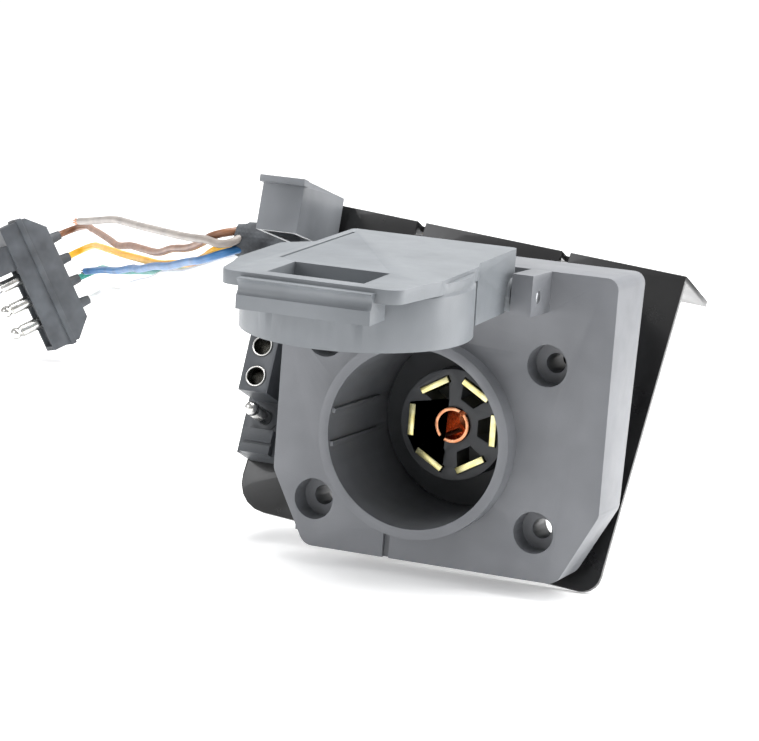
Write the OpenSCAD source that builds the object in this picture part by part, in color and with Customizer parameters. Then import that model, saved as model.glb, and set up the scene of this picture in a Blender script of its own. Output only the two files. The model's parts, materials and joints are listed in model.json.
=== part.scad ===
// Vehicle-side trailer wiring connector: a round seven-way socket and a flat four-way socket
// on one sheet-steel bracket, with the harness that feeds them and its flat four-way plug.
// Origin: centre of the seven-way socket's rim. +X right, +Y into the vehicle, +Z up.

/* [Face plate] */
// Left edge of the face plate, from the socket axis
plate_left = 40.5; // [38:0.5:46]
// Right edge of the face plate, from the socket axis
plate_right = 49.5; // [46:0.5:60]
// Top edge of the face plate, above the socket axis
plate_top = 46.5; // [45.5:0.5:52]
// Bottom edge of the face plate, below the socket axis
plate_bottom = 33; // [31.5:0.5:40]
// Depth of the face plate at its bottom edge
plate_depth_low = 15; // [14:0.5:18]
// Depth of the face plate at its top edge
plate_depth_high = 22; // [19:0.5:24]
// Thickness of the moulded walls
wall = 3; // [2.4:0.1:3.6]
// Width of the cut lower corners
corner_cut_w = 10; // [6:0.5:11]
// Height of the cut lower corners
corner_cut_h = 19; // [10:0.5:20]

/* [Seven-way socket] */
// Inner radius of the socket
socket_r = 23.4; // [22.5:0.1:24.2]
// Outer radius of the collar
collar_r = 26; // [25.4:0.1:26.4]
// How far the collar stands out of the face plate
collar_proud = 6; // [4:0.5:7]
// Depth from the rim to the contact face
contact_depth = 29; // [25:0.5:31]
// Radius of the contact pedestal
pedestal_r = 14.8; // [14.4:0.1:16]
// Radius of the blade circle
blade_circle_r = 11.5; // [11:0.1:11.8]
// Width of a blade contact
blade_w = 8.4; // [7:0.1:8.6]
// Thickness of a blade contact
blade_t = 1.7; // [1.2:0.1:2]
// Outer radius of the centre contact
centre_r = 4.7; // [4:0.1:4.9]

/* [Mounting holes] */
// Distance between the mounting holes, side to side
hole_pitch_x = 61; // [59:0.5:62]
// Distance between the mounting holes, top to bottom
hole_pitch_z = 43; // [42:0.5:45]
// Radius of the mounting holes
hole_r = 2.6; // [2.2:0.1:3]
// Radius of the counterbores
counterbore_r = 5.4; // [4.8:0.1:5.8]
// Depth of the counterbores
counterbore_depth = 7; // [4:0.5:9]

/* [Lid] */
// Height of the lid's hinge pin above the socket axis
lid_pin_z = 40.7; // [40.5:0.1:42]
// Radius of the lid's hinge pin
lid_pin_r = 1.6; // [1.4:0.1:2]
// Half width of the lid at its hinge
lid_half_w = 22.3; // [20.8:0.1:22.6]
// Outer radius of the lid's skirt
skirt_r = 28.3; // [28.1:0.1:29.5]
// Thickness of the skirt
skirt_t = 1.7; // [1.4:0.1:1.8]
// Half width of the lid's finger lip
lip_half_w = 24.5; // [22:0.5:26]
// Thickness of a hinge ear
ear_t = 5.5; // [4:0.1:5.6]
// Side clearance between the lid's knuckle and each ear
ear_gap = 0.5; // [0.4:0.1:0.8]

/* [Four-way socket] */
// Sideways place of the four-way socket
flat_x = -52.8; // [-56:0.1:-52.4]
// Distance between neighbouring contacts
flat_pitch = 8.4; // [8.2:0.1:8.8]
// Width of the four-way body
flat_w = 8.4; // [7.8:0.1:8.8]
// How far the four-way body stands out of its holder
flat_proud = 12.3; // [10:0.1:12.5]
// Radius of a contact sleeve
sleeve_r = 2.85; // [2.6:0.05:2.95]
// Radius of the bullet pin
bullet_r = 1.9; // [1.6:0.05:2]
// Width of the dust cap
cap_w = 11.8; // [11.6:0.1:12.4]
// Depth of the dust cap
cap_depth = 14.5; // [14.3:0.1:15.5]

/* [Bracket] */
// How far the bracket leans back
lean = 21.7; // [20.5:0.1:22]
// How far the bracket is turned in its own plane
turn = 4.6; // [3:0.1:6]
// Distance from the rim to the bracket along the socket axis
bracket_y = 38; // [37:0.5:42]
// Sheet thickness
sheet_t = 1.6; // [1.2:0.1:2]
// Depth of the bent top flange
flange_depth = 24; // [18:0.5:26]

/* [Harness] */
// Diameter of a wire
wire_d = 2.4; // [1.8:0.1:2.4]
// Radius of the taped trunk
trunk_r = 6; // [5.6:0.1:6.4]

/* [Hidden] */
$fn = 64;
EPS = 0.01;

// Face plate and barrel
face_y = collar_proud;
hole_mid = [2, 1];
hole_xs = [hole_mid[0] - hole_pitch_x / 2, hole_mid[0] + hole_pitch_x / 2];
hole_zs = [hole_mid[1] - hole_pitch_z / 2, hole_mid[1] + hole_pitch_z / 2];
boss_r = counterbore_r + 1.8;
barrel_end = 62;
plate_outline = [
    [-plate_left, plate_top - 21],
    [-plate_left + 16, plate_top],
    [plate_right, plate_top],
    [plate_right, -plate_bottom + corner_cut_h],
    [plate_right - corner_cut_w, -plate_bottom],
    [-plate_left + corner_cut_w, -plate_bottom],
    [-plate_left, -plate_bottom + corner_cut_h]
];
corner_radii = [3, 3, 3, 4, 4, 4, 4];
back_slope = atan((plate_depth_high - plate_depth_low) / (plate_top + plate_bottom));

// Wedge that joins the face plate to the bracket
wedge_left = 33.5;
wedge_right = 38;
wedge_top = 38;
wedge_bottom = 29.5;
wedge_wall = 2.5;
screw_r = 1.6;
screw_boss_r = 3.4;
screw_us = [-20, 24];
screw_w_top = 31;
screw_w_low = -25.5;

// Contact core
core_floor_y = contact_depth + 11;
core_back_y = core_floor_y + 12;
core_fit = 0.15;
blade_end_y = core_back_y + 6;
blade_tip_y = contact_depth - 0.9;
slot_fit = 0.15;

// Lid, given closed: its hinge pin is at [lid_pin_y, lid_pin_z]
lid_pin_y = -3;
lid_open = 86.5;
lid_top_y = -14.3;
lid_plate_t = 3.4;
shoulder_h = 4;
lid_rim_y = face_y - 3.8;
lid_mid_x = 2.3;
knuckle_r = 4.4;
ear_in_x = lid_half_w + 1.6;
ear_out_x = ear_in_x + ear_t;
ear_front_y = lid_pin_y - 5;
pin_fit = 0.05;
lid_rim_trim_y = 1;
pocket_half_w = 12.3;
pocket_high = -10.3;
pocket_low = -26.3;
pocket_floor_y = -5.4;
pocket_wall = 1.6;
gasket_t = 3;
gasket_gap = 0.4;
gasket_in_r = socket_r - 0.4;

// Four-way socket, in the bracket's leaning frame: p is the distance out of the bracket
shoulder_p = 9;
face_p = shoulder_p + flat_proud;
bullet_q = -8.9;
flat_low_q = bullet_q + flat_pitch / 2;
flat_high_q = bullet_q + 3 * flat_pitch + flat_w / 2;
holder_half_w = 6;
holder_low_q = -19.3;
holder_high_q = flat_high_q + 0.4;
holder_back_p = -14;
hub_r = 3.7;
cap_wall = 1.4;
cap_gap = 0.3;
cap_end_q = flat_low_q - cap_gap - cap_wall;
cap_top_q = flat_high_q + cap_gap + cap_wall;
cap_mouth_p = shoulder_p + 0.4;
cap_pin_p = -5.8;
cap_pin_q = flat_high_q + 6.7;
cap_pin_r = 1;
cap_open = 82;
cheek_in = 3.1;
cheek_out = 5.1;
cheek_r = 2.6;
arm_half_w = cheek_in - 0.3;
arm_half_t = 1.25;
arm_tip_p = cap_mouth_p + 2.4;

// Bracket
bracket_low = -37;
bracket_high = 50.8;
bracket_left = -57.6;
bracket_right = 48.2;
bracket_radii = [2, 2, 5, 9];
bend_r = 2.4;
notch_us = [-28.5, 14];
notch_w = 2.6;
flange_bolt_us = [-43, 34];
flange_bolt_r = 3.3;

// Harness: the trunk leaves the rear cover and ends beside the bracket's upper left edge
trunk_route = [[-8, 70, 6], [-8, 77, 6], [-10, 83, 8], [-15, 88, 12], [-23, 91, 17], [-33, 91, 21],
               [-44, 89, 25], [-55, 86, 29], [-66, 82, 32], [-77, 79, 34.5], [-88, 76, 36]];
branch_route = [[-52.8, 51, 4], [-52, 58, 2], [-48, 66, 2], [-42, 74, 5], [-38, 81, 10], [-35, 87, 16]];
wire_colours = ["#e9eaec", "#7a5136", "#efb21f", "#2c8c80", "#1d5a8c", "#8e8782"];

// Wire routes, from the trunk's end: the first four run to the plug, the last two have bare ends
wire_routes = [
    [[-84, 77.5, 33], [-93, 77, 29], [-103, 87, 25], [-115, 100.5, 21], [-128, 116, 18],
     [-141, 132, 13], [-154, 149, 9], [-166, 167, 5], [-178, 186, 0], [-190, 205, -3], [-201, 224, -6],
     [-211, 242, -9], [-220, 257, -11], [-226, 262, -14], [-231.4, 256.2, -18.1]],
    [[-84, 76.5, 39], [-92, 73, 37], [-101, 82, 33], [-112, 96, 29], [-125, 112, 26], [-138, 129, 22],
     [-152, 147, 20], [-166, 166, 18], [-180, 185, 15], [-193, 204, 14], [-206, 223, 13],
     [-218, 240, 12], [-228, 253, 11], [-237, 258, 8], [-242.4, 251.8, 4.2]],
    [[-84, 77, 36], [-92, 76, 33], [-102, 85, 28], [-113, 100, 24], [-126, 116, 21], [-139, 133, 18],
     [-153, 151, 16], [-166, 169, 14], [-179, 187, 12], [-192, 206, 10], [-205, 225, 8], [-216, 242, 6],
     [-226, 255, 4], [-233, 259, 1], [-238.7, 253.3, -3.2]],
    [[-84, 79.6, 34.5], [-94, 82.5, 30], [-104, 92.5, 25], [-115, 107, 21], [-128, 121, 18],
     [-141, 138, 15], [-154, 155, 12], [-167, 173, 9], [-179, 191, 6], [-192, 210, 3], [-204, 229, 0],
     [-215, 245, -2], [-223, 257, -4], [-230, 261, -7], [-235.1, 254.7, -10.6]],
    [[-84, 74, 34], [-89, 71, 32], [-97, 75, 29], [-108, 87, 26], [-121, 102, 22], [-134, 119, 19],
     [-148, 137, 15], [-161, 158, 12], [-175, 176, 8], [-189, 194, 5], [-201, 211, 2], [-213, 227, -1]],
    [[-84, 74, 37.5], [-88, 70, 35], [-96, 73, 35], [-105, 81, 34], [-116, 92, 33], [-127, 104, 32],
     [-138, 116, 31], [-148, 128, 30], [-159, 140, 29], [-169, 151, 27], [-178, 162, 25], [-188, 172, 23]]
];

// Plug, standing on its front lower corner
plug_t = 11;
plug_half = 23.5;
plug_depth = 16;
plug_pin_r = 2.2;
plug_place = [-246, 244, -13.4];
plug_yaw = 45;
plug_roll = 28;
plug_roll_axis = [-0.37, 0.93, 0];
plug_zs = [for (i = [0:3]) (i - 1.5) * flat_pitch];

// ---- shared helpers ----

// The outline's points with each corner rounded to its own radius
function corner_arc(a, b, c, r, n) =
    let (u = (a - b) / norm(a - b))
    let (v = (c - b) / norm(c - b))
    let (half = acos(u * v) / 2)
    let (mid = (u + v) / norm(u + v))
    let (centre = b + mid * r / sin(half))
    let (start = b + u * r / tan(half) - centre)
    let (sweep = 180 - 2 * half)
    let (side = cross(u, v) > 0 ? -1 : 1)
    [for (i = [0:n])
        let (t = side * sweep * i / n)
        centre + [start[0] * cos(t) - start[1] * sin(t), start[0] * sin(t) + start[1] * cos(t)]];

function rounded(points, radii, n = 5) =
    [for (i = [0:len(points) - 1])
        let (k = len(points))
        each corner_arc(points[(i + k - 1) % k], points[i], points[(i + 1) % k], radii[i], n)];

// A convex outline, drawn clockwise, moved inward by d
function inset(points, d) =
    [for (i = [0:len(points) - 1])
        let (k = len(points))
        let (u = points[i] - points[(i + k - 1) % k])
        let (v = points[(i + 1) % k] - points[i])
        let (m = [u[1], -u[0]] / norm(u))
        let (n = [v[1], -v[0]] / norm(v))
        points[i] + d * (m + n) / (1 + m * n)];

// A shape drawn in X and Z, given depth from y0 to y1
module along_y(y0, y1) {
    translate([0, y1, 0])
        rotate([90, 0, 0])
            linear_extrude(y1 - y0)
                children();
}

// A round bar along Y
module rod_y(x, z, r, y0, y1) {
    translate([x, y1, z])
        rotate([90, 0, 0])
            cylinder(r = r, h = y1 - y0);
}

// A round bar along X
module rod_x(y, z, r, x0, x1) {
    translate([x0, y, z])
        rotate([0, 90, 0])
            cylinder(r = r, h = x1 - x0);
}

// A box given by its two corners
module box(a, b) {
    translate(a)
        cube(b - a);
}

// The bracket's leaning frame: Y runs out of its back, Z up its face
module leaning() {
    translate([0, bracket_y, 0])
        rotate([-lean, 0, 0])
            children();
}

// The bracket's own outline directions, turned in its plane
module turned() {
    leaning()
        rotate([0, turn, 0])
            children();
}

// Turns a closed lid to where it rests
module lid_at_rest() {
    translate([0, lid_pin_y, lid_pin_z])
        rotate([-lid_open, 0, 0])
            translate([0, -lid_pin_y, -lid_pin_z])
                children();
}

// Turns a closed dust cap to where it rests
module cap_at_rest() {
    leaning()
        translate([0, -cap_pin_p, cap_pin_q])
            rotate([-cap_open, 0, 0])
                translate([0, cap_pin_p, -cap_pin_q])
                    children();
}

// A tube swept along a route, with flat ends
function unit(v) = v / norm(v);
function route_dir(route, i) = unit(route[min(i + 1, len(route) - 1)] - route[max(i - 1, 0)]);
module swept(route, r, sides) {
    rings = [for (i = [0:len(route) - 1])
        let (t = route_dir(route, i))
        let (a = unit(cross(t, [0, 0, 1])))
        let (b = cross(a, t))
        for (s = [0:sides - 1])
            route[i] + r * (cos(360 * s / sides) * a + sin(360 * s / sides) * b)];
    last = (len(route) - 1) * sides;
    walls = [for (i = [0:len(route) - 2])
        for (s = [0:sides - 1])
            let (t = (s + 1) % sides)
            each [[i * sides + s, i * sides + t, (i + 1) * sides + t],
                  [i * sides + s, (i + 1) * sides + t, (i + 1) * sides + s]]];
    ends = [[for (s = [sides - 1:-1:0]) s], [for (s = [0:sides - 1]) last + s]];
    polyhedron(points = rings, faces = concat(walls, ends), convexity = 6);
}

// ---- face plate and barrel ----

module plate_shape(inside = 0) {
    polygon(inside > 0 ? inset(plate_outline, inside) : rounded(plate_outline, corner_radii));
}

// Everything behind the plate's sloping back
module behind_plate() {
    translate([0, face_y + plate_depth_low, -plate_bottom])
        rotate([-back_slope, 0, 0])
            translate([-100, 0, -60])
                cube([200, 200, 240]);
}

// Everything behind the bracket's front face
module behind_bracket(gap = 0) {
    leaning()
        translate([-100, -gap, -150])
            cube([200, 200, 300]);
}

module key_rib(angle) {
    rotate([0, angle, 0])
        box([-socket_r - 0.5, 0.8, -0.6], [-socket_r + 0.9, contact_depth + 2, 0.6]);
}

module hinge_ear(side) {
    x0 = lid_mid_x + (side > 0 ? ear_in_x : -ear_out_x);
    box([x0, ear_front_y, lid_pin_z - 4.6], [x0 + ear_t, face_y + 1, plate_top]);
}

module housing() {
    color("#5c5e61")
    difference() {
        union() {
            difference() {
                along_y(face_y, face_y + 40) plate_shape();
                behind_plate();
                difference() {
                    along_y(face_y + wall + 0.6, face_y + 41) plate_shape(wall);
                    for (x = hole_xs, z = hole_zs) rod_y(x, z, boss_r, face_y, face_y + 42);
                }
            }
            difference() {
                box([-wedge_left, face_y + 1, -wedge_bottom], [wedge_right, 70, wedge_top]);
                box([-wedge_left + wedge_wall, face_y, -wedge_bottom + wedge_wall],
                    [wedge_right - wedge_wall, 71, wedge_top - wedge_wall]);
                behind_bracket();
            }
            difference() {
                intersection() {
                    box([-wedge_left, face_y + 1, -wedge_bottom], [wedge_right, 70, wedge_top]);
                    leaning() for (u = screw_us, w = [screw_w_low, screw_w_top])
                        translate([u, 0, w]) rotate([90, 0, 0]) cylinder(r = screw_boss_r, h = 14);
                }
                behind_bracket();
            }
            rod_y(0, 0, collar_r, 0, barrel_end);
            for (side = [-1, 1]) hinge_ear(side);
        }
        rod_y(0, 0, socket_r, -1, barrel_end + 1);
        for (x = hole_xs, z = hole_zs) {
            rod_y(x, z, hole_r, 0, 60);
            rod_y(x, z, counterbore_r, 0, face_y + counterbore_depth);
        }
        leaning() for (u = screw_us, w = [screw_w_low, screw_w_top])
            translate([u, 1, w]) rotate([90, 0, 0]) cylinder(r = screw_r, h = 13);
        rod_x(lid_pin_y, lid_pin_z, lid_pin_r, lid_mid_x - ear_out_x - 1, lid_mid_x + ear_out_x + 1);
        box([-8.2, face_y - 1, -plate_bottom - 1], [-6.4, face_y + 1.4, -collar_r + 1]);
    }
    color("#5c5e61") difference() {
        union() for (angle = [-11, 11]) key_rib(angle);
        difference() {
            rod_y(0, 0, 60, 0, barrel_end);
            rod_y(0, 0, socket_r + 0.3, -1, barrel_end + 1);
        }
    }
}

// ---- contacts ----

module blade_pocket() {
    along_y(contact_depth - 1, core_floor_y - 2)
        polygon([[-2.1, 7], [2.1, 7], [4.6, blade_circle_r + blade_t / 2 + slot_fit],
                 [-4.6, blade_circle_r + blade_t / 2 + slot_fit]]);
}

module blade_shape(grow) {
    half_w = blade_w / 2 + grow;
    half_t = blade_t / 2 + grow;
    box([-half_w, blade_tip_y - grow, blade_circle_r - half_t],
        [half_w, blade_end_y + grow, blade_circle_r + half_t]);
}

module contact_core() {
    color("#3a3b3d")
    difference() {
        union() {
            rod_y(0, 0, socket_r - core_fit, core_floor_y, core_back_y);
            rod_y(0, 0, pedestal_r, contact_depth, core_floor_y + 1);
        }
        for (i = [0:5]) rotate([0, 60 * i + 30, 0]) {
            blade_pocket();
            blade_shape(slot_fit);
        }
        rod_y(0, 0, centre_r + slot_fit, contact_depth - 1, core_back_y + 1);
    }
}

module blade_contact(i) {
    color("#d8b45a")
    rotate([0, 60 * i + 30, 0])
        difference() {
            blade_shape(0);
            translate([0, blade_end_y - 2.6, 0]) cylinder(r = 0.9, h = 30);
        }
}

module centre_contact() {
    color("#b87333")
    difference() {
        rod_y(0, 0, centre_r, blade_tip_y, blade_end_y);
        rod_y(0, 0, centre_r - 0.8, blade_tip_y - 1, core_floor_y + 4);
        rotate([0, 35, 0]) box([-0.7, blade_tip_y - 1, -10], [0.7, core_floor_y + 2, 10]);
    }
}

module seal_ring() {
    color("#1c1c1d")
    difference() {
        rod_y(0, 0, socket_r - core_fit, core_back_y + EPS, core_back_y + 2);
        rod_y(0, 0, socket_r - 3, core_back_y - 1, core_back_y + 3);
    }
}

module rear_cover() {
    back_y = barrel_end + 7;
    color("#2b2c2e")
    difference() {
        union() {
            rod_y(0, 0, collar_r + 2.4, barrel_end - 8, back_y);
            rod_y(-8, 6, trunk_r + 3, back_y - 1, back_y + 7);
        }
        rod_y(0, 0, collar_r + 0.1, barrel_end - 9, barrel_end + 0.1);
        rod_y(0, 0, collar_r - 3, barrel_end - 1, back_y - 2.4);
        rod_y(-8, 6, trunk_r + 0.1, barrel_end, back_y + 8);
    }
}

// ---- lid of the seven-way socket, drawn closed ----

lid_left = lid_mid_x - lid_half_w;
lid_right = lid_mid_x + lid_half_w;
lid_side = skirt_r - 2.2;
lid_outline = [
    [lid_left, lid_pin_z + 2.8],
    [lid_right, lid_pin_z + 2.8],
    [lid_right, 17],
    [lid_side, 12],
    [lid_side, -12],
    [lip_half_w, -19],
    [lip_half_w - 2, -30.5],
    [-lip_half_w + 2, -30.5],
    [-lip_half_w, -19],
    [-lid_side, -12],
    [-lid_side, 12],
    [lid_left, 19]
];
lid_radii = [1.5, 1.5, 1.5, 1.5, 8, 2, 4, 4, 2, 8, 3, 2];

module lid_shell() {
    difference() {
        union() {
            along_y(lid_top_y, lid_top_y + lid_plate_t) polygon(rounded(lid_outline, lid_radii));
            translate([0, lid_top_y, 0])
                rotate([-90, 0, 0])
                    cylinder(r1 = lid_side - 0.6, r2 = skirt_r, h = shoulder_h);
            rod_y(0, 0, skirt_r, lid_top_y + shoulder_h - EPS, lid_rim_y);
            box([lid_left, lid_top_y + 1, 16], [lid_right, lid_pin_y + 4, lid_pin_z - 4.6]);
            box([lid_left, lid_top_y + 1, lid_pin_z - 6], [lid_right, lid_pin_y, lid_pin_z + 1.4]);
            rod_x(lid_pin_y, lid_pin_z, knuckle_r,
                  lid_mid_x - ear_in_x + ear_gap, lid_mid_x + ear_in_x - ear_gap);
            box([-17, lid_top_y + 1, -33], [17, lid_top_y + 8.4, -24]);
        }
        difference() {
            rod_y(0, 0, skirt_r - skirt_t, lid_top_y + lid_plate_t, lid_rim_y + 1);
            box([-pocket_half_w - pocket_wall, lid_top_y, -60],
                [pocket_half_w + pocket_wall, pocket_floor_y + pocket_wall, pocket_high + pocket_wall]);
        }
        box([-skirt_r - 1, lid_rim_trim_y, 12], [skirt_r + 1, lid_rim_y + 1, skirt_r + 1]);
        box([-pocket_half_w, lid_top_y - 1, pocket_low], [pocket_half_w, pocket_floor_y, pocket_high]);
        box([lid_left + 2.4, lid_top_y + lid_plate_t, skirt_r + 1],
            [lid_right - 2.4, lid_pin_y + 5, lid_pin_z - 6.4]);
        rod_x(lid_pin_y, lid_pin_z, lid_pin_r + pin_fit, lid_mid_x - ear_in_x, lid_mid_x + ear_in_x);
        box([lid_left + 2, lid_top_y - 1, -7], [lid_left + 2.8, lid_top_y + 0.5, 38]);
        rod_x(lid_top_y + 3.2, -34.2, 2.2, -40, 40);
        rotate([0, 66, 0]) box([-0.7, lid_rim_y - 5, -skirt_r - 1], [0.7, lid_rim_y + 1, -skirt_r + 0.8]);
    }
}

module lid() {
    color("#8d9194")
    lid_at_rest() {
        lid_shell();
        difference() {
            rod_y(0, 0, skirt_r - 0.5, lid_top_y + 1, -gasket_gap - gasket_t);
            rod_y(0, 0, gasket_in_r, lid_top_y, 5);
            box([-pocket_half_w, lid_top_y - 1, pocket_low], [pocket_half_w, pocket_floor_y, pocket_high]);
        }
    }
}

module lid_gasket() {
    color("#1b1b1c")
    lid_at_rest()
    difference() {
        rod_y(0, 0, collar_r, -gasket_gap - gasket_t + EPS, -gasket_gap);
        rod_y(0, 0, gasket_in_r, -10, 5);
    }
}

module lid_hinge_pin() {
    color("silver")
    rod_x(lid_pin_y, lid_pin_z, lid_pin_r, lid_mid_x - ear_out_x, lid_mid_x + ear_out_x);
}

// ---- four-way socket, its dust cap and their hinge ----

// A box in the leaning frame, given out of the bracket (p) and up it (q)
module leaned_box(x0, x1, p0, p1, q0, q1) {
    leaning() box([x0, -p1, q0], [x1, -p0, q1]);
}

module leaned_rod(x, q, r, p0, p1) {
    leaning() rod_y(x, q, r, -p1, -p0);
}

module four_way_body() {
    block_in = flat_x - flat_w / 2;
    block_out = flat_x + flat_w / 2;
    color("#55585b")
    difference() {
        union() {
            leaned_box(block_in, block_out, shoulder_p - 1, face_p, flat_low_q, flat_high_q);
            leaned_rod(flat_x, bullet_q, hub_r, shoulder_p - 1, cap_mouth_p - 0.2);
            leaned_box(flat_x - holder_half_w, flat_x + holder_half_w, holder_back_p, shoulder_p,
                       holder_low_q, holder_high_q);
            leaned_box(block_in, block_out, 1, shoulder_p + 2.6, holder_low_q, bullet_q - hub_r);
            for (side = [-1, 1]) cap_cheek(flat_x + side * (cheek_in + cheek_out) / 2);
        }
        for (i = [1:3]) leaned_rod(flat_x, bullet_q + flat_pitch * i, sleeve_r + 0.1, shoulder_p - 6, 40);
        leaned_rod(flat_x, bullet_q, bullet_r + 0.1, shoulder_p - 6, 40);
        leaned_box(flat_x - 10, flat_x + 10, shoulder_p + 2, 14, -16.9, -16.1);
        leaning() rod_x(-cap_pin_p, cap_pin_q, cap_pin_r, flat_x - 10, flat_x + 10);
    }
}

// One of the two cheeks that hold the dust cap's hinge pin
module cap_cheek(x) {
    half_t = (cheek_out - cheek_in) / 2;
    leaning() rod_x(-cap_pin_p, cap_pin_q, cheek_r, x - half_t, x + half_t);
    leaned_box(x - half_t, x + half_t, cap_pin_p - cheek_r, cap_pin_p + cheek_r,
               holder_high_q - 1, cap_pin_q);
}

module contact_sleeves() {
    color("#c9c7bd")
    for (i = [0:2]) difference() {
        leaned_rod(flat_x, bullet_q + flat_pitch * (i + 1), sleeve_r, shoulder_p - 5, face_p + 0.3);
        leaned_rod(flat_x, bullet_q + flat_pitch * (i + 1), sleeve_r - 0.45, shoulder_p - 3, 40);
    }
}

module bullet_pin() {
    color("#c9c7bd")
    difference() {
        union() {
            leaned_rod(flat_x, bullet_q, bullet_r, shoulder_p - 5, face_p - bullet_r * 0.6);
            leaned_rod(flat_x, bullet_q, bullet_r * 0.8, shoulder_p, face_p);
        }
        leaned_rod(flat_x, bullet_q, 0.7, face_p - 3, 40);
    }
}

module dust_cap() {
    half_w = cap_w / 2;
    front_p = cap_mouth_p + cap_depth;
    arm_run = [arm_tip_p - cap_pin_p, cap_pin_q - cap_top_q];
    color("#6c6f73")
    cap_at_rest()
    difference() {
        union() {
            box([flat_x - half_w, -front_p, cap_end_q], [flat_x + half_w, -cap_mouth_p, cap_top_q]);
            box([flat_x - half_w - 0.6, -front_p, cap_end_q - 1.6],
                [flat_x + half_w + 0.6, -front_p + 1.8, cap_end_q + 1.5]);
            translate([flat_x, -cap_pin_p, cap_pin_q]) rotate([atan2(arm_run[1], arm_run[0]), 0, 0])
                box([-arm_half_w, -norm(arm_run), -arm_half_t], [arm_half_w, 0, arm_half_t]);
            rod_x(-cap_pin_p, cap_pin_q, 2.1, flat_x - arm_half_w, flat_x + arm_half_w);
        }
        box([flat_x - half_w + cap_wall, -front_p + cap_wall, cap_end_q + cap_wall],
            [flat_x + half_w - cap_wall, -cap_mouth_p + 1, cap_top_q - cap_wall]);
        rod_x(-cap_pin_p, cap_pin_q, cap_pin_r + pin_fit, flat_x - 10, flat_x + 10);
    }
}

module cap_hinge_pin() {
    color("silver")
    leaning() rod_x(-cap_pin_p, cap_pin_q, cap_pin_r, flat_x - cheek_out, flat_x + cheek_out);
}

// ---- bracket and its screws ----

bracket_outline = [
    [bracket_left, bracket_high],
    [bracket_right, bracket_high],
    [bracket_right, bracket_low],
    [bracket_left, bracket_low]
];

module bracket() {
    color("#1d1d1f")
    difference() {
        union() {
            turned() along_y(0, sheet_t) polygon(rounded(bracket_outline, bracket_radii));
            turned() box([bracket_left, 0, bracket_high - sheet_t],
                         [bracket_right, flange_depth, bracket_high]);
        }
        rod_y(0, 0, collar_r + 0.8, 20, 53);
        for (x = hole_xs, z = hole_zs) rod_y(x, z, counterbore_r, 20, 56);
        leaning() for (u = screw_us, w = [screw_w_low, screw_w_top]) rod_y(u, w, screw_r + 0.2, -5, 5);
        leaned_box(flat_x - holder_half_w - 0.1, flat_x + holder_half_w + 0.1, -5, 5,
                   holder_low_q - 0.1, cap_pin_q + cheek_r + 0.4);
        leaned_box(flat_x - cheek_in - 0.5, flat_x + cheek_in + 0.5, -5, 5, cap_pin_q, cap_top_q + 23);
        turned() for (u = notch_us)
            box([u - notch_w / 2, -1, bracket_high - bend_r * 1.6], [u + notch_w / 2, 5, bracket_high + 1]);
        turned() for (u = flange_bolt_us)
            translate([u, flange_depth / 2 + 1, bracket_high - 5]) cylinder(r = flange_bolt_r, h = 10);
    }
}

module bracket_screws() {
    color("#8a8c8e")
    leaning() for (u = screw_us, w = [screw_w_low, screw_w_top]) difference() {
        union() {
            rod_y(u, w, screw_r, -11, sheet_t + 1);
            rod_y(u, w, 3.1, sheet_t + EPS, sheet_t + 2.2);
        }
        translate([u, sheet_t + 1.9, w]) cube([4.4, 1.6, 0.8], center = true);
        translate([u, sheet_t + 1.9, w]) cube([0.8, 1.6, 4.4], center = true);
    }
}

// ---- harness, plug and wires ----

module harness_trunk() {
    color("#3b3c3e") swept(trunk_route, trunk_r, 16);
}

module branch_sleeve() {
    color("#262728") swept(branch_route, 3.2, 10);
}

// The plug, drawn with its mating face towards -Y and its row of contacts along Z
module plug_at_rest() {
    translate(plug_place)
        rotate(-plug_roll, plug_roll_axis)
            rotate([0, 0, -plug_yaw])
                children();
}

module plug_body() {
    color("#3d4043")
    plug_at_rest()
    difference() {
        union() {
            translate([-plug_t / 2, 0, 0]) rotate([90, 0, 90]) linear_extrude(plug_t)
                polygon([[0, -plug_half], [10, -plug_half], [plug_depth, -plug_half + 6],
                         [plug_depth, plug_half - 6], [10, plug_half], [0, plug_half]]);
            box([-plug_t / 2 - 0.7, 6.5, -plug_half - 0.7], [plug_t / 2 + 0.7, 8.5, plug_half + 0.7]);
            box([-4.6, -11, plug_zs[3] - 4.6], [4.6, 1, plug_zs[3] + 4.6]);
        }
        box([-plug_t / 2 + 1.4, -1, -plug_half + 1.6], [plug_t / 2 - 1.4, 1.6, plug_zs[3] - 4.6]);
        rod_y(0, plug_zs[3], 2.7, -12, 4);
        for (i = [0:2]) rod_y(0, plug_zs[i], plug_pin_r + 0.05, -1, 6);
    }
}

module plug_pins() {
    color("#c9c7bd")
    plug_at_rest() for (i = [0:2]) difference() {
        union() {
            rod_y(0, plug_zs[i], plug_pin_r, -10, 5.9);
            rod_y(0, plug_zs[i], plug_pin_r * 0.75, -11, 0);
        }
        rod_y(0, plug_zs[i], 0.6, -12, -9);
    }
}

module plug_sleeve() {
    color("#c9c7bd")
    plug_at_rest() difference() {
        rod_y(0, plug_zs[3], 2.65, -10.8, 3.9);
        rod_y(0, plug_zs[3], 2.2, -12, 2);
    }
}

module wire(i) {
    color(wire_colours[i]) swept(wire_routes[i], wire_d / 2, 8);
}

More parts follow.
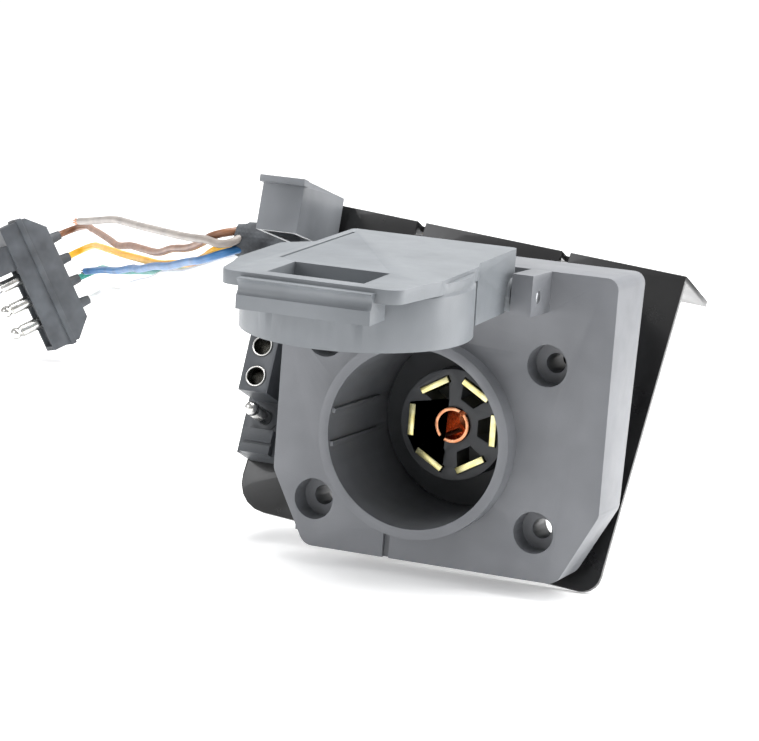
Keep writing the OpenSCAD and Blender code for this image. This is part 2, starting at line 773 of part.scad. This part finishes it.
housing();
contact_core();
blade_contact(0);  // blade_contact_1
blade_contact(1);  // blade_contact_2
blade_contact(2);  // blade_contact_3
blade_contact(3);  // blade_contact_4
blade_contact(4);  // blade_contact_5
blade_contact(5);  // blade_contact_6
centre_contact();
seal_ring();
rear_cover();
lid();
lid_gasket();
lid_hinge_pin();
four_way_body();
contact_sleeves();
bullet_pin();
dust_cap();
cap_hinge_pin();
bracket();
bracket_screws();
harness_trunk();
branch_sleeve();
plug_body();
plug_pins();
plug_sleeve();
wire(0);  // wire_white
wire(1);  // wire_brown
wire(2);  // wire_yellow
wire(3);  // wire_green
wire(4);  // wire_blue
wire(5);  // wire_black
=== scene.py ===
"""Looks of a vehicle-side trailer wiring connector: round and flat sockets on a steel bracket."""
import json
import math
import bmesh
import bpy
from mathutils import Matrix, Vector, noise

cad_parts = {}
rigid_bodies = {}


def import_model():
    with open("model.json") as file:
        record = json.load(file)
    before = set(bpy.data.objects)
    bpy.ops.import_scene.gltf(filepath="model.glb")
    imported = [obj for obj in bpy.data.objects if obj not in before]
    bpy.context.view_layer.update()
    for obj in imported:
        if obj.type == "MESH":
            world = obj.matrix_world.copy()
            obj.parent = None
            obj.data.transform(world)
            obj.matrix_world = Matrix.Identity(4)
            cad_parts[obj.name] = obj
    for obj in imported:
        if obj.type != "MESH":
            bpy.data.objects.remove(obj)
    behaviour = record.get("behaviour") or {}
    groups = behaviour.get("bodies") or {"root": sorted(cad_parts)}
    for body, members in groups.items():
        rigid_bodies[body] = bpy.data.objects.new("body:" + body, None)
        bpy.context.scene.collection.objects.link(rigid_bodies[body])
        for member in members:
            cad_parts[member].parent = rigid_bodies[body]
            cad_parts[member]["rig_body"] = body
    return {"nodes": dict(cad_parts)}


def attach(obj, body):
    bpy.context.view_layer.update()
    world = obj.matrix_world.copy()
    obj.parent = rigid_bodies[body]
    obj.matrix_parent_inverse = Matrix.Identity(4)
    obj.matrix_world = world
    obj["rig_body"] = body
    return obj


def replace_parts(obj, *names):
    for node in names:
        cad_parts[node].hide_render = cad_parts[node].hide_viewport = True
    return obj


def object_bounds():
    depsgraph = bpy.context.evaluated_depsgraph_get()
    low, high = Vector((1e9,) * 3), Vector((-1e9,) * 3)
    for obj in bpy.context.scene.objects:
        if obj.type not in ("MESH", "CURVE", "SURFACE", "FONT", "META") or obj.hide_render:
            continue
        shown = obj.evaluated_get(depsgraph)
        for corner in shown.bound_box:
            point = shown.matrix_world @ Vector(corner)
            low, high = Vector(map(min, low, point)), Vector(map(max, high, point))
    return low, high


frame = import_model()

CAD_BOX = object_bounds()
MM = 0.001
FLOOR_Z = CAD_BOX[0][2]


def mm(*values):
    """A place or size given in millimetres, as metres."""
    return Vector(v * MM for v in values)


# ---- camera, floor and light ----

VIEW_AZIMUTH = math.radians(21.8)
VIEW_ELEVATION = math.radians(8.8)
VIEW_ROLL = math.radians(4.4)
VIEW_DISTANCE = 806.5 * MM
VIEW_CENTRE = mm(-9.9, -1.2, 16.7)
LENS_MM = 150


def make_camera():
    """A long lens from the right, a little above, tipped clockwise."""
    sin_a, cos_a = math.sin(VIEW_AZIMUTH), math.cos(VIEW_AZIMUTH)
    sin_e, cos_e = math.sin(VIEW_ELEVATION), math.cos(VIEW_ELEVATION)
    back = Vector((sin_a * cos_e, -cos_a * cos_e, sin_e))
    level = Vector((cos_a, sin_a, 0))
    upright = back.cross(level)
    right = level * math.cos(VIEW_ROLL) + upright * math.sin(VIEW_ROLL)
    up = upright * math.cos(VIEW_ROLL) - level * math.sin(VIEW_ROLL)
    data = bpy.data.cameras.new("camera")
    data.lens = LENS_MM
    data.sensor_width = 36
    data.clip_end = 20
    camera = bpy.data.objects.new("camera", data)
    bpy.context.scene.collection.objects.link(camera)
    turn = Matrix((right, up, back)).transposed().to_4x4()
    camera.matrix_world = Matrix.Translation(VIEW_CENTRE + back * VIEW_DISTANCE) @ turn
    bpy.context.scene.camera = camera


def make_light(name, place, aim, size, watts, tint):
    data = bpy.data.lights.new(name, "AREA")
    data.shape = "RECTANGLE"
    data.size, data.size_y = size
    data.energy = watts
    data.color = tint
    light = bpy.data.objects.new(name, data)
    light.location = place
    light.rotation_euler = (aim - place).to_track_quat("-Z", "Y").to_euler()
    bpy.context.scene.collection.objects.link(light)


def make_studio():
    """A white sweep lit from above, from the right and softly from the left."""
    aim = Vector((0, 0, 0))
    make_light("top_softbox", Vector((0.1, 0.2, 0.9)), aim, (1.0, 0.8), 19, (1, 1, 1))
    make_light("right_softbox", Vector((0.95, 0.45, 0.3)), aim, (0.5, 0.7), 8, (1, 1, 1))
    make_light("left_softbox", Vector((-0.8, -0.7, 0.5)), aim, (0.6, 0.6), 4, (0.97, 0.98, 1))
    world = bpy.data.worlds.new("white_room")
    bpy.context.scene.world = world
    world.use_nodes = True
    backdrop = world.node_tree.nodes["Background"]
    backdrop.inputs["Color"].default_value = (1, 1, 1, 1)
    backdrop.inputs["Strength"].default_value = 0.62
    bpy.context.scene.view_settings.view_transform = "Standard"


# ---- materials ----

def linear(hex_colour):
    """An sRGB hex colour as linear light."""
    values = [int(hex_colour[i:i + 2], 16) / 255 for i in (1, 3, 5)]
    return [v / 12.92 if v <= 0.04045 else ((v + 0.055) / 1.055) ** 2.4 for v in values] + [1]


def add_node(material, kind, settings=None, links=None):
    """One node with its settings and the links into its sockets."""
    tree = material.node_tree
    node = tree.nodes.new(kind)
    for name, value in (settings or {}).items():
        if name in node.inputs:
            node.inputs[name].default_value = value
        else:
            setattr(node, name, value)
    for name, source in (links or {}).items():
        tree.links.new(source, node.inputs[name])
    return node


def new_material(name, colour, roughness, metallic=0.0, coat=0.0):
    material = bpy.data.materials.new(name)
    material.use_nodes = True
    shader = material.node_tree.nodes["Principled BSDF"]
    shader.inputs["Base Color"].default_value = linear(colour)
    shader.inputs["Roughness"].default_value = roughness
    shader.inputs["Metallic"].default_value = metallic
    shader.inputs["Coat Weight"].default_value = coat
    return material, shader


def speckle(material, grain_mm, detail=3.0, where=None):
    """Fine noise whose blobs are about grain_mm across."""
    coords = add_node(material, "ShaderNodeTexCoord")
    source = where or coords.outputs["Object"]
    return add_node(material, "ShaderNodeTexNoise",
                    {"Scale": 1 / (grain_mm * MM), "Detail": detail}, {"Vector": source})


def ramp(material, source, stops):
    node = add_node(material, "ShaderNodeValToRGB", links={"Fac": source})
    elements = node.color_ramp.elements
    elements[0].position, elements[0].color = stops[0][0], linear(stops[0][1])
    elements[1].position, elements[1].color = stops[-1][0], linear(stops[-1][1])
    for position, colour in stops[1:-1]:
        elements.new(position).color = linear(colour)
    return node


def mottled(material, shader, grain_mm, low, high):
    """Slow drift of colour between two near shades."""
    tone = ramp(material, speckle(material, grain_mm, 2).outputs["Fac"], [(0.3, low), (0.7, high)])
    material.node_tree.links.new(tone.outputs["Color"], shader.inputs["Base Color"])


def uneven_gloss(material, shader, grain_mm, low, high):
    gloss = add_node(material, "ShaderNodeMapRange", {"To Min": low, "To Max": high},
                     {"Value": speckle(material, grain_mm, 4).outputs["Fac"]})
    material.node_tree.links.new(gloss.outputs["Result"], shader.inputs["Roughness"])


def grain(material, shader, grain_mm, height_mm, strength=1.0):
    """Bump as a spark-eroded mould leaves it."""
    bump = add_node(material, "ShaderNodeBump", {"Distance": height_mm * MM, "Strength": strength},
                    {"Height": speckle(material, grain_mm, 4).outputs["Fac"]})
    material.node_tree.links.new(bump.outputs["Normal"], shader.inputs["Normal"])


def moulded_nylon(name, low, high, gloss=(0.34, 0.5)):
    """Glass-filled nylon, injection moulded: satin, with a fine eroded grain and faint flow marks."""
    material, shader = new_material(name, low, gloss[0])
    mottled(material, shader, 14, low, high)
    uneven_gloss(material, shader, 5, *gloss)
    grain(material, shader, 0.45, 0.035, 0.6)
    return material


def coated_steel():
    """Sheet steel, powder coated black: glossy, with a slow orange-peel ripple."""
    material, shader = new_material("powder_coated_steel", "#101011", 0.3, coat=0.25)
    mottled(material, shader, 20, "#0c0c0d", "#161617")
    uneven_gloss(material, shader, 8, 0.22, 0.36)
    grain(material, shader, 1.3, 0.05, 0.4)
    return material


def stamped_metal(name, low, high, gloss):
    """Strip metal, stamped and plated or bare: bright, with fine drawn marks and dull patches."""
    material, shader = new_material(name, low, gloss[0], metallic=1.0)
    mottled(material, shader, 3, low, high)
    uneven_gloss(material, shader, 1.5, *gloss)
    grain(material, shader, 0.3, 0.01, 0.5)
    return material


def extruded_vinyl(name, low, high):
    """Vinyl insulation, extruded on the wire: soft gloss, with slight waves along it."""
    material, shader = new_material(name, low, 0.32)
    mottled(material, shader, 6, low, high)
    uneven_gloss(material, shader, 4, 0.26, 0.4)
    grain(material, shader, 1.2, 0.03, 0.4)
    return material


def moulded_rubber(name, low, high):
    """Soft rubber, compression moulded: nearly matt, with a dusty bloom."""
    material, shader = new_material(name, low, 0.6)
    mottled(material, shader, 7, low, high)
    uneven_gloss(material, shader, 3, 0.48, 0.7)
    grain(material, shader, 0.6, 0.04, 0.5)
    return material


def woven_tape():
    """Cloth harness tape, wound on: matt, with a crossed weave of threads 0.6 mm apart."""
    material, shader = new_material("woven_cloth_tape", "#34363a", 0.85)
    mottled(material, shader, 4, "#2a2c2f", "#46494d")
    coords = add_node(material, "ShaderNodeTexCoord")
    waves = [add_node(material, "ShaderNodeTexWave",
                      {"bands_direction": way, "Scale": 1 / (0.6 * MM) / math.tau, "Distortion": 1.5},
                      {"Vector": coords.outputs["Object"]}) for way in ("X", "Z")]
    cross = add_node(material, "ShaderNodeMath", {"operation": "MAXIMUM"})
    for i, wave in enumerate(waves):
        material.node_tree.links.new(wave.outputs["Fac"], cross.inputs[i])
    bump = add_node(material, "ShaderNodeBump", {"Distance": 0.12 * MM, "Strength": 0.7},
                    {"Height": cross.outputs["Value"]})
    material.node_tree.links.new(bump.outputs["Normal"], shader.inputs["Normal"])
    return material


# ---- mesh helpers ----

def new_piece(name, mesh, body, material):
    piece = bpy.data.objects.new(name, mesh)
    bpy.context.scene.collection.objects.link(piece)
    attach(piece, body)
    if material:
        piece.data.materials.clear()
        piece.data.materials.append(material)
    return piece


def softened(node, material, width_mm, extra=None, segments=3, angle=35):
    """A copy of a CAD node with its sharp edges rounded, which stands for the node.
    extra(a, b) gives an edge its own width in millimetres, or None to keep width_mm."""
    source = frame["nodes"][node]
    mesh = source.data.copy()
    shape = bmesh.new()
    shape.from_mesh(mesh)
    bmesh.ops.remove_doubles(shape, verts=shape.verts, dist=0.004 * MM)
    bmesh.ops.dissolve_limit(shape, angle_limit=math.radians(1), verts=shape.verts, edges=shape.edges)
    widest = width_mm
    widths = {}
    for edge in shape.edges:
        if len(edge.link_faces) != 2 or edge.calc_face_angle(0) < math.radians(angle):
            continue
        own = extra(edge.verts[0].co / MM, edge.verts[1].co / MM) if extra else None
        widths[edge.index] = width_mm if own is None else own
        widest = max(widest, widths[edge.index])
    shape.edges.index_update()
    layer = shape.edges.layers.float.new("bevel_weight_edge")
    for edge in shape.edges:
        edge[layer] = widths.get(edge.index, 0) / widest
    shape.to_mesh(mesh)
    shape.free()
    body = source["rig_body"]
    piece = new_piece(node + "_finished", mesh, body, material)
    mesh.shade_smooth()
    bevel = piece.modifiers.new("rounded_edges", "BEVEL")
    bevel.limit_method = "WEIGHT"
    bevel.width = widest * MM
    bevel.segments = segments
    bevel.use_clamp_overlap = True
    bevel.harden_normals = True
    bevel.miter_outer = "MITER_ARC"
    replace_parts(piece, node)
    return piece


def dress(node, material):
    """Gives a CAD node a better finish and leaves its shape."""
    obj = frame["nodes"][node]
    obj.data.materials.clear()
    obj.data.materials.append(material)


def smooth_path(points, step_mm):
    """Points about step_mm apart on one smooth curve through the given points."""
    ends = [points[0] * 2 - points[1]] + points + [points[-1] * 2 - points[-2]]
    path = []
    for a, b, c, d in zip(ends, ends[1:], ends[2:], ends[3:]):
        count = max(2, round((c - b).length / (step_mm * MM)))
        for i in range(count):
            t = i / count
            path.append(0.5 * (b * 2 + (c - a) * t + (a * 2 - b * 5 + c * 4 - d) * t * t
                               + (b * 3 - a - c * 3 + d) * t ** 3))
    return path + [points[-1]]


def tube_mesh(name, path, radius_at, sides):
    """A closed tube; radius_at(distance along, angle round) gives its radius in metres."""
    shape = bmesh.new()
    rings, travelled = [], 0
    normal = (path[1] - path[0]).orthogonal().normalized()
    for i, place in enumerate(path):
        along = (path[min(i + 1, len(path) - 1)] - path[max(i - 1, 0)]).normalized()
        normal = (normal - along * normal.dot(along)).normalized()
        side = along.cross(normal)
        travelled += (place - path[max(i - 1, 0)]).length
        ring = []
        for s in range(sides):
            turn = math.tau * s / sides
            out = normal * math.cos(turn) + side * math.sin(turn)
            ring.append(shape.verts.new(place + out * radius_at(travelled, turn)))
        rings.append(ring)
    close_rings(shape, rings)
    return finish_mesh(name, shape)


def close_rings(shape, rings):
    """Joins rings of points with faces and shuts both ends."""
    count = len(rings[0])
    for low, high in zip(rings, rings[1:]):
        for s in range(count):
            t = (s + 1) % count
            shape.faces.new((low[s], low[t], high[t], high[s]))
    shape.faces.new(reversed(rings[0]))
    shape.faces.new(rings[-1])


def finish_mesh(name, shape):
    bmesh.ops.recalc_face_normals(shape, faces=shape.faces)
    mesh = bpy.data.meshes.new(name)
    shape.to_mesh(mesh)
    shape.free()
    mesh.shade_smooth()
    mesh.set_sharp_from_angle(angle=math.radians(50))
    return mesh


def turned_mesh(name, profiles, sides=40):
    """Turned parts; each profile is a frame and its (radius, distance out along -Y) points in mm."""
    shape = bmesh.new()
    for place, points in profiles:
        rings = [[shape.verts.new(place @ mm(r * math.cos(math.tau * s / sides), -p,
                                             r * math.sin(math.tau * s / sides)))
                  for s in range(sides)] for r, p in points]
        close_rings(shape, rings)
    return finish_mesh(name, shape)


# ---- frames of the tilted parts, as in the CAD model ----

BRACKET_LEAN = math.radians(21.7)
BRACKET_TURN = math.radians(4.6)
LEANING = Matrix.Translation(mm(0, 38, 0)) @ Matrix.Rotation(-BRACKET_LEAN, 4, "X")
LID_PIN = mm(2.3, -3, 40.7)
PLUG_AT_REST = (Matrix.Translation(mm(-246, 244, -13.4))
                @ Matrix.Rotation(math.radians(-28), 4, Vector((-0.37, 0.93, 0)))
                @ Matrix.Rotation(math.radians(-45), 4, "Z"))
FLAT_X = -52.8
FLAT_PITCH = 8.4
FLAT_FACE = 21.3
BULLET_Q = -8.9


# ---- harness: cords first ----

WIRE_D = 2.4
TRUNK_ROUTE = [mm(*p) for p in (
    (-8, 70, 6), (-8, 77, 6), (-10, 83, 8), (-15, 88, 12), (-23, 91, 17), (-33, 91, 21),
    (-44, 89, 25), (-55, 86, 29), (-66, 82, 32), (-77, 79, 34.5), (-88, 76, 36))]
BRANCH_ROUTE = [mm(*p) for p in (
    (-52.8, 51, 4), (-52, 58, 2), (-48, 66, 2), (-42, 74, 5), (-38, 81, 10), (-35, 87, 16))]
WIRE_ROUTES = {
    "white": ((-84, 77.5, 33), (-93, 77, 29), (-103, 87, 25), (-115, 100.5, 21), (-128, 116, 18),
              (-141, 132, 13), (-154, 149, 9), (-166, 167, 5), (-178, 186, 0), (-190, 205, -3),
              (-201, 224, -6), (-211, 242, -9), (-220, 257, -11), (-226, 262, -14),
              (-231.4, 256.2, -18.1)),
    "brown": ((-84, 76.5, 39), (-92, 73, 37), (-101, 82, 33), (-112, 96, 29), (-125, 112, 26),
              (-138, 129, 22), (-152, 147, 20), (-166, 166, 18), (-180, 185, 15), (-193, 204, 14),
              (-206, 223, 13), (-218, 240, 12), (-228, 253, 11), (-237, 258, 8),
              (-242.4, 251.8, 4.2)),
    "yellow": ((-84, 77, 36), (-92, 76, 33), (-102, 85, 28), (-113, 100, 24), (-126, 116, 21),
               (-139, 133, 18), (-153, 151, 16), (-166, 169, 14), (-179, 187, 12), (-192, 206, 10),
               (-205, 225, 8), (-216, 242, 6), (-226, 255, 4), (-233, 259, 1),
               (-238.7, 253.3, -3.2)),
    "green": ((-84, 79.6, 34.5), (-94, 82.5, 30), (-104, 92.5, 25), (-115, 107, 21),
              (-128, 121, 18), (-141, 138, 15), (-154, 155, 12), (-167, 173, 9), (-179, 191, 6),
              (-192, 210, 3), (-204, 229, 0), (-215, 245, -2), (-223, 257, -4), (-230, 261, -7),
              (-235.1, 254.7, -10.6)),
    "blue": ((-84, 74, 34), (-89, 71, 32), (-97, 75, 29), (-108, 87, 26), (-121, 102, 22),
             (-134, 119, 19), (-148, 137, 15), (-161, 158, 12), (-175, 176, 8), (-189, 194, 5),
             (-201, 211, 2), (-213, 227, -1)),
    "black": ((-84, 74, 37.5), (-88, 70, 35), (-96, 73, 35), (-105, 81, 34), (-116, 92, 33),
              (-127, 104, 32), (-138, 116, 31), (-148, 128, 30), (-159, 140, 29), (-169, 151, 27),
              (-178, 162, 25), (-188, 172, 23)),
}
WIRE_SHADES = {"white": ("#e4e5e8", "#f2f3f5"), "brown": ("#6d462e", "#8a5f42"),
               "yellow": ("#e7a612", "#f6bd34"), "green": ("#1f7d74", "#38a093"),
               "blue": ("#164f7e", "#2a6ca3"), "black": ("#7d7570", "#9b938c")}
WIRES_IN_PLUG = ("white", "brown", "yellow", "green")
COLLAR_LENGTH = 5
STRAND_LENGTH = 5
NECK_LENGTH = 9
PLUG_REAR = -15.5


def wire_curve(colour, route):
    """One wire on a smooth curve through its route."""
    curve = bpy.data.curves.new("wire_" + colour, "CURVE")
    curve.dimensions = "3D"
    curve.bevel_depth = WIRE_D / 2 * MM
    curve.bevel_resolution = 4
    curve.resolution_u = 8
    curve.use_fill_caps = True
    spline = curve.splines.new("BEZIER")
    spline.bezier_points.add(len(route) - 1)
    for knot, place in zip(spline.bezier_points, route):
        knot.co = place
        knot.handle_left_type = knot.handle_right_type = "AUTO"
    return curve


def bare_strands(name, tip, along, material):
    """Seven tinned copper strands that stand out of cut insulation, slightly splayed."""
    shape = bmesh.new()
    strand_r = 0.26
    side = along.orthogonal().normalized()
    for i in range(7):
        lean = Matrix.Rotation(math.tau * i / 6, 3, along) @ side * (0 if i == 6 else 1)
        start = tip + lean * strand_r * 2 * MM - along * MM
        end = tip + along * STRAND_LENGTH * MM + lean * strand_r * 3.2 * MM
        turn = (end - start).to_track_quat("Z", "Y").to_matrix().to_4x4()
        place = Matrix.Translation((start + end) / 2) @ turn
        bmesh.ops.create_cone(shape, cap_ends=True, segments=8, radius1=strand_r * MM,
                              radius2=strand_r * MM, depth=(end - start).length, matrix=place)
    return new_piece(name, finish_mesh(name, shape), "base", material)


def make_wires(copper, plug_pieces):
    """Six wires: four run into the plug, two end bare."""
    for colour, points in WIRE_ROUTES.items():
        route = [mm(*p) for p in points]
        wire = bpy.data.objects.new("wire_" + colour + "_insulation", wire_curve(colour, route))
        bpy.context.scene.collection.objects.link(wire)
        wire.data.materials.append(extruded_vinyl(colour + "_vinyl", *WIRE_SHADES[colour]))
        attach(wire, "base")
        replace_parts(wire, "wire_" + colour)
        if colour in WIRES_IN_PLUG:
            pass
        else:
            strands = bare_strands("strands_" + colour, route[-1], (route[-1] - route[-2]).normalized(),
                                   copper)


def taped_radius(radius_mm, wrap_mm, lift_mm, neck_mm=0.0, length_mm=0.0):
    """Radius of a tube wound with tape: each turn laps over the last, on a lumpy bundle.
    With a length given, the tube draws in by neck_mm towards its far end."""
    def radius_at(travelled, turn):
        along = travelled / MM
        lap = (along / wrap_mm + turn / math.tau) % 1
        lump = noise.noise(Vector((along * 0.11, math.cos(turn), math.sin(turn)))) * 0.25
        neck = 0
        if length_mm:
            neck = neck_mm * max(0, 1 - (length_mm - along) / NECK_LENGTH) ** 2
        return (radius_mm - lift_mm + lift_mm * lap + lump - neck) * MM
    return radius_at


def make_trunk(tape, sleeve):
    """The taped trunk to its mouth, and the branch that feeds the flat socket."""
    path = smooth_path(TRUNK_ROUTE, 0.6)
    length = sum((b - a).length for a, b in zip(path, path[1:])) / MM
    trunk = tube_mesh("taped_trunk", path, taped_radius(6.1, 11, 0.55, 1.5, length), 48)
    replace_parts(new_piece("taped_trunk", trunk, "base", tape), "harness_trunk")
    branch = tube_mesh("taped_branch", smooth_path(BRANCH_ROUTE, 0.5), taped_radius(3.2, 8, 0.35), 32)
    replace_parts(new_piece("taped_branch", branch, "base", sleeve), "branch_sleeve")


# ---- contacts ----

def bullet_points(radius, base, tip):
    """Profile of a bullet contact: shank, waist and domed tip."""
    dome = [(radius * math.cos(a), tip - radius + radius * math.sin(a))
            for a in (math.radians(d) for d in range(0, 90, 10))]
    waist = [(radius, base), (radius, tip - 4.2), (radius * 0.82, tip - 3.9), (radius * 0.82, tip - 3.2)]
    return [(0.05, base)] + waist + [(radius, tip - 2.7)] + dome + [(0.05, tip)]


def rolled_sleeve_points(radius, base, rim, floor):
    """Profile of a rolled sleeve contact with a rounded rim."""
    wall, lip = 0.45, 0.22
    rim_arc = [(radius - wall / 2 + wall / 2 * math.cos(a), rim - lip + lip * math.sin(a))
               for a in (math.radians(d) for d in range(0, 181, 30))]
    return [(0.05, base), (radius, base)] + rim_arc + [(radius - wall, floor), (0.05, floor)]


def flat_place(index):
    """Frame of one contact of the flat socket; index 0 is the bullet at the bottom."""
    return LEANING @ Matrix.Translation(mm(FLAT_X, 0, BULLET_Q + FLAT_PITCH * index))


def plug_place(index):
    return PLUG_AT_REST @ Matrix.Translation(mm(0, 0, (index - 1.5) * FLAT_PITCH))


def make_contacts(brass, copper, nickel):
    for i in range(1, 7):
        softened(f"blade_contact_{i}", brass, 0.4, segments=3)
    softened("centre_contact", copper, 0.15)
    bullet = turned_mesh("bullet_tip", [(flat_place(0), bullet_points(1.9, 4, FLAT_FACE))])
    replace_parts(new_piece("bullet_tip", bullet, "base", nickel), "bullet_pin")
    sleeves = turned_mesh("rolled_sleeves", [
        (flat_place(i), rolled_sleeve_points(2.85, 4, FLAT_FACE + 0.4, 6)) for i in (1, 2, 3)])
    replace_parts(new_piece("rolled_sleeves", sleeves, "base", nickel), "contact_sleeves")


def make_plug(rubber, nickel):
    """The flat plug: moulded body with wire collars, three bullets and one sleeve."""
    body = softened("plug_body", rubber, 0.9)
    pins = turned_mesh("plug_bullets", [(plug_place(i), bullet_points(2.2, -5.9, 11)) for i in (0, 1, 2)])
    pins = new_piece("plug_bullets", pins, "base", nickel)
    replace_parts(pins, "plug_pins")
    sleeve = turned_mesh("plug_ring", [(plug_place(3), rolled_sleeve_points(2.65, -3.9, 10.9, -2))])
    sleeve = new_piece("plug_ring", sleeve, "base", nickel)
    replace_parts(sleeve, "plug_sleeve")
    collar_end = PLUG_REAR - COLLAR_LENGTH
    collar = [(2.3, PLUG_REAR), (2.3, PLUG_REAR - 1.1), (1.9, PLUG_REAR - 1.9), (1.6, collar_end),
              (1.2, collar_end)]
    collars = turned_mesh("wire_collars", [(plug_place(i), collar) for i in range(4)], 24)
    collars = new_piece("wire_collars", collars, "base", rubber)
    return [body, pins, sleeve, collars]


# ---- housing, lid, flat socket and bracket ----

def make_housing(nylon, dark_nylon, cover, rubber):
    def edge_width(a, b):
        on_face = abs(a.y - 6) < 0.05 and abs(b.y - 6) < 0.05
        outer = max(abs(a.x - 4.5) / 45, abs(a.z - 6.75) / 39.75) > 0.86
        return 1.1 if on_face and outer else None
    softened("housing", nylon, 0.45, edge_width)
    softened("contact_core", dark_nylon, 0.3)
    softened("rear_cover", cover, 0.8)
    dress("seal_ring", rubber)


def make_lid(nylon, rubber, steel):
    softened("lid", nylon, 0.6)
    softened("lid_gasket", rubber, 0.3)
    reach, radius, rounding = 29.4, 1.6, 0.3
    half = [(0.05, reach), (radius - rounding, reach), (radius, reach - rounding)]
    pin = [(r, -p) for r, p in half] + [(r, p) for r, p in reversed(half)]
    along_x = Matrix.Translation(LID_PIN) @ Matrix.Rotation(math.radians(90), 4, "Z")
    mesh = turned_mesh("lid_pin_polished", [(along_x, pin)])
    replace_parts(new_piece("lid_pin_polished", mesh, "base", steel), "lid_hinge_pin")


def make_flat_socket(nylon, cap_nylon, steel):
    softened("four_way_body", nylon, 0.4)
    softened("dust_cap", cap_nylon, 0.6)
    softened("cap_hinge_pin", steel, 0.2)


def make_bracket(steel, zinc):
    """Bent sheet: the bend is round, the cut edges only slightly."""
    turn = (LEANING @ Matrix.Rotation(BRACKET_TURN, 4, "Y")).inverted()
    top, sheet, near = 50.8, 1.6, 0.05

    def edge_width(a, b):
        high_a, high_b = (turn @ (a * MM)) / MM, (turn @ (b * MM)) / MM
        on_bend = all(abs(h.z - top) < near and abs(h.y) < near for h in (high_a, high_b))
        inside = all(abs(h.z - top + sheet) < near and abs(h.y - sheet) < near
                     for h in (high_a, high_b))
        return 2.4 if on_bend else (0.8 if inside else None)
    softened("bracket", steel, 0.25, edge_width, segments=4)
    softened("bracket_screws", zinc, 0.25)


def make_floor():
    """A pale sweep that curves up far behind."""
    shape = bmesh.new()
    half, reach, rise = 3.0, 2.2, 1.6
    profile = [(-3.0, 0), (1.0, 0)]
    profile += [(1.0 + reach * math.sin(a), rise * (1 - math.cos(a)))
                for a in (math.radians(d) for d in range(6, 91, 6))]
    rows = [[shape.verts.new((x, y, FLOOR_Z + z)) for x in (-half, half)] for y, z in profile]
    for low, high in zip(rows, rows[1:]):
        shape.faces.new((low[0], low[1], high[1], high[0]))
    floor = bpy.data.objects.new("floor", finish_mesh("floor", shape))
    bpy.context.scene.collection.objects.link(floor)
    material, shader = new_material("white_sweep_paper", "#f6f6f6", 0.55)
    shader.inputs["Specular IOR Level"].default_value = 0.1
    shader.inputs["Emission Color"].default_value = (1, 1, 1, 1)
    shader.inputs["Emission Strength"].default_value = 0.3
    mottled(material, shader, 300, "#f4f4f4", "#fafafa")
    floor.data.materials.append(material)


def main():
    make_camera()
    make_studio()
    make_floor()
    copper = stamped_metal("stamped_copper", "#c27e58", "#e6ab85", (0.18, 0.34))
    brass = stamped_metal("stamped_brass", "#cfc27c", "#e9e4b4", (0.16, 0.32))
    nickel = stamped_metal("nickel_plated_brass", "#b9b8b4", "#e4e4e2", (0.12, 0.26))
    zinc = stamped_metal("zinc_plated_steel", "#8f9194", "#c6c8ca", (0.25, 0.42))
    rubber = moulded_rubber("moulded_plug_rubber", "#303338", "#484c51")
    seal = moulded_rubber("moulded_seal_rubber", "#151516", "#232324")
    make_wires(copper, make_plug(rubber, nickel))
    make_trunk(woven_tape(), woven_tape())
    make_contacts(brass, copper, nickel)
    make_housing(moulded_nylon("moulded_housing_nylon", "#626468", "#6d6f73"),
                 moulded_nylon("moulded_core_nylon", "#3a3c3f", "#484a4d"),
                 moulded_nylon("moulded_cover_nylon", "#1c1d1f", "#27282a"), seal)
    make_lid(moulded_nylon("moulded_lid_nylon", "#63676b", "#6f7377"), seal, zinc)
    make_flat_socket(moulded_nylon("moulded_flat_socket_nylon", "#3c3f43", "#4b4e52"),
                     moulded_nylon("moulded_cap_nylon", "#63666a", "#74777b"), zinc)
    make_bracket(coated_steel(), zinc)


main()
